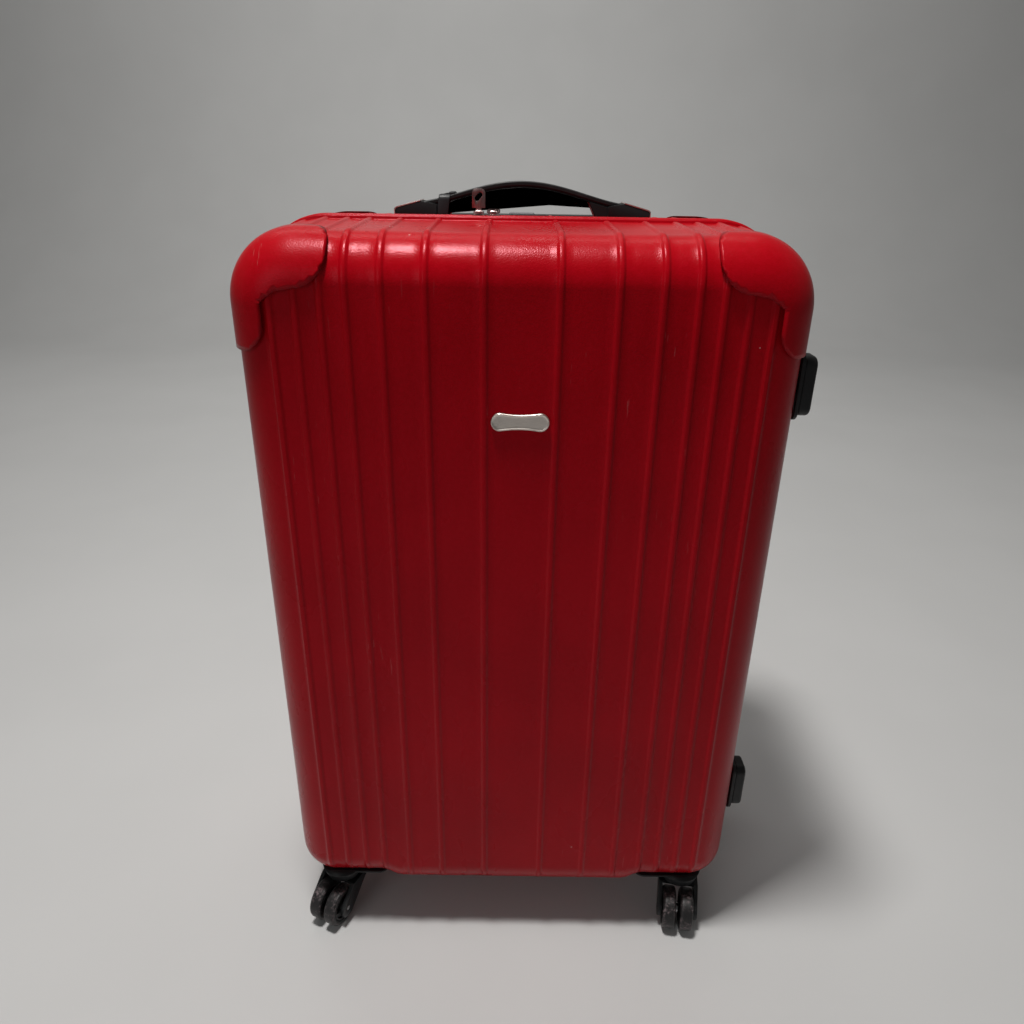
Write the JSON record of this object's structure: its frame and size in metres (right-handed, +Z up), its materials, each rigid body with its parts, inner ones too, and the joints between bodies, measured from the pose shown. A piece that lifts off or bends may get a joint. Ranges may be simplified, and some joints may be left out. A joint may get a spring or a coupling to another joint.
{
  "type": "hard shell suitcase on wheels",
  "caption": "Ribbed hard shell suitcase that opens on a zip seam, with a telescopic pull handle, two carry handles and twin-wheel swivel casters.",
  "frame": {"origin": "on the floor under the centre of the case", "axes": "+X to the right seen from the front, +Y from the front face to the back face, +Z up"},
  "size_m": [0.5319, 0.3288, 0.8204],
  "materials": {
    "red_shell": "moulded ABS, glossy with a fine pebble grain",
    "lining": "thin woven polyester lining",
    "zip_tape": "woven zip tape with moulded coil teeth",
    "black_plastic": "satin injection moulded plastic",
    "aluminium_tube": "satin anodised",
    "screw_steel": "zinc plated",
    "cover_board": "fabric faced stiff board",
    "button_grey": "satin grey plastic",
    "metal_trim": "brushed metal plate",
    "soft_grip": "soft touch rubber",
    "rubber_band": "matt rubber",
    "webbing": "elastic woven webbing",
    "zip_metal": "cast zinc, polished and scuffed",
    "badge_silver": "satin silver plate",
    "caster_plastic": "worn black nylon",
    "axle_steel": "plain steel",
    "wheel_tread": "hard polyurethane, scuffed tread"
  },
  "bodies": {
    "back_half": {"back_shell": "red_shell", "back_lining": "lining", "back_zip_tape": "zip_tape", "hinge_tape": "zip_tape", "back_side_feet": "black_plastic", "trolley_bezel": "black_plastic", "trolley_outer_tubes": "aluminium_tube", "trolley_foot_bracket": "black_plastic", "trolley_screws": "screw_steel", "trolley_cover": "cover_board", "top_handle_mounts": "black_plastic", "top_handle_trims": "metal_trim", "side_handle_mounts": "black_plastic", "side_handle_trims": "metal_trim", "cross_straps": "webbing", "strap_buckle": "black_plastic", "strap_anchors": "black_plastic", "back_left_housing": "caster_plastic", "back_right_housing": "caster_plastic"},
    "front_half": {"front_shell": "red_shell", "front_lining": "lining", "front_zip_tape": "zip_tape", "front_side_feet": "black_plastic", "front_pocket": "lining", "badge": "badge_silver", "front_left_housing": "caster_plastic", "front_right_housing": "caster_plastic"},
    "top_handle": {"top_handle_strap": "black_plastic", "top_handle_grip": "soft_grip", "tag_strap": "rubber_band"},
    "side_handle": {"side_handle_strap": "black_plastic", "side_handle_grip": "soft_grip"},
    "trolley_mid": {"trolley_mid_tubes": "aluminium_tube"},
    "trolley_top": {"trolley_inner_tubes": "aluminium_tube", "trolley_grip": "black_plastic"},
    "grip_button": {"grip_button": "button_grey"},
    "slider_a": {"zip_slider_a": "zip_metal"},
    "pull_a": {"zip_pull_a": "zip_metal"},
    "slider_b": {"zip_slider_b": "zip_metal"},
    "pull_b": {"zip_pull_b": "zip_metal"},
    "front_left_caster": {"front_left_fork": "caster_plastic", "front_left_axle": "axle_steel"},
    "front_left_wheel_a": {"front_left_wheel_a": "wheel_tread"},
    "front_left_wheel_b": {"front_left_wheel_b": "wheel_tread"},
    "front_right_caster": {"front_right_fork": "caster_plastic", "front_right_axle": "axle_steel"},
    "front_right_wheel_a": {"front_right_wheel_a": "wheel_tread"},
    "front_right_wheel_b": {"front_right_wheel_b": "wheel_tread"},
    "back_left_caster": {"back_left_fork": "caster_plastic", "back_left_axle": "axle_steel"},
    "back_left_wheel_a": {"back_left_wheel_a": "wheel_tread"},
    "back_left_wheel_b": {"back_left_wheel_b": "wheel_tread"},
    "back_right_caster": {"back_right_fork": "caster_plastic", "back_right_axle": "axle_steel"},
    "back_right_wheel_a": {"back_right_wheel_a": "wheel_tread"},
    "back_right_wheel_b": {"back_right_wheel_b": "wheel_tread"}
  },
  "joints": [
    {"name": "front_opens", "type": "hinge", "parent": "back_half", "child": "front_half", "pos_m": [0.2535, 0, 0.421], "axis": [0, 0, 1], "range_deg": [0, 150]},
    {"name": "top_handle_lift", "type": "slide", "parent": "back_half", "child": "top_handle", "axis": [0, 0, 1], "range_m": [0, 0.006], "stiffness_N_per_m": 300},
    {"name": "side_handle_lift", "type": "slide", "parent": "back_half", "child": "side_handle", "axis": [-1, 0, 0], "range_m": [0, 0.006], "stiffness_N_per_m": 300},
    {"name": "trolley_lower", "type": "slide", "parent": "back_half", "child": "trolley_mid", "axis": [0, 0, 1], "range_m": [0, 0.17]},
    {"name": "trolley_upper", "type": "slide", "parent": "trolley_mid", "child": "trolley_top", "axis": [0, 0, 1], "range_m": [0, 0.17]},
    {"name": "grip_button_press", "type": "slide", "parent": "trolley_top", "child": "grip_button", "axis": [0, 0, -1], "range_m": [0, 0.003], "stiffness_N_per_m": 400},
    {"name": "zip_a_run", "type": "slide", "parent": "back_half", "child": "slider_a", "axis": [-1, 0, 0], "range_m": [0, 0.11]},
    {"name": "pull_a_tilt", "type": "hinge", "parent": "slider_a", "child": "pull_a", "pos_m": [-0.042, 0, 0.7926], "axis": [1, 0, 0], "range_deg": [-35, 88]},
    {"name": "zip_b_run", "type": "slide", "parent": "back_half", "child": "slider_b", "axis": [1, 0, 0], "range_m": [0, 0.085]},
    {"name": "pull_b_tilt", "type": "hinge", "parent": "slider_b", "child": "pull_b", "pos_m": [-0.028, 0, 0.7926], "axis": [1, 0, 0], "range_deg": [0, 172]},
    {"name": "front_left_swivel", "type": "hinge", "parent": "front_half", "child": "front_left_caster", "pos_m": [-0.203, -0.113, 0.055], "axis": [0, 0, 1], "continuous": true},
    {"name": "front_left_spin_a", "type": "hinge", "parent": "front_left_caster", "child": "front_left_wheel_a", "pos_m": [-0.21399, -0.13656, 0.0235], "axis": [0.9063, -0.4226, 0], "continuous": true},
    {"name": "front_left_spin_b", "type": "hinge", "parent": "front_left_caster", "child": "front_left_wheel_b", "pos_m": [-0.21399, -0.13656, 0.0235], "axis": [0.9063, -0.4226, 0], "continuous": true},
    {"name": "front_right_swivel", "type": "hinge", "parent": "front_half", "child": "front_right_caster", "pos_m": [0.203, -0.113, 0.055], "axis": [0, 0, 1], "continuous": true},
    {"name": "front_right_spin_a", "type": "hinge", "parent": "front_right_caster", "child": "front_right_wheel_a", "pos_m": [0.19916, -0.13871, 0.0235], "axis": [0.989, -0.1478, 0], "continuous": true},
    {"name": "front_right_spin_b", "type": "hinge", "parent": "front_right_caster", "child": "front_right_wheel_b", "pos_m": [0.19916, -0.13871, 0.0235], "axis": [0.989, -0.1478, 0], "continuous": true},
    {"name": "back_left_swivel", "type": "hinge", "parent": "back_half", "child": "back_left_caster", "pos_m": [-0.203, 0.113, 0.055], "axis": [0, 0, 1], "continuous": true},
    {"name": "back_left_spin_a", "type": "hinge", "parent": "back_left_caster", "child": "back_left_wheel_a", "pos_m": [-0.19916, 0.13871, 0.0235], "axis": [-0.989, 0.1478, 0], "continuous": true},
    {"name": "back_left_spin_b", "type": "hinge", "parent": "back_left_caster", "child": "back_left_wheel_b", "pos_m": [-0.19916, 0.13871, 0.0235], "axis": [-0.989, 0.1478, 0], "continuous": true},
    {"name": "back_right_swivel", "type": "hinge", "parent": "back_half", "child": "back_right_caster", "pos_m": [0.203, 0.113, 0.055], "axis": [0, 0, 1], "continuous": true},
    {"name": "back_right_spin_a", "type": "hinge", "parent": "back_right_caster", "child": "back_right_wheel_a", "pos_m": [0.21399, 0.13656, 0.0235], "axis": [-0.9063, 0.4226, 0], "continuous": true},
    {"name": "back_right_spin_b", "type": "hinge", "parent": "back_right_caster", "child": "back_right_wheel_b", "pos_m": [0.21399, 0.13656, 0.0235], "axis": [-0.9063, 0.4226, 0], "continuous": true}
  ]
}
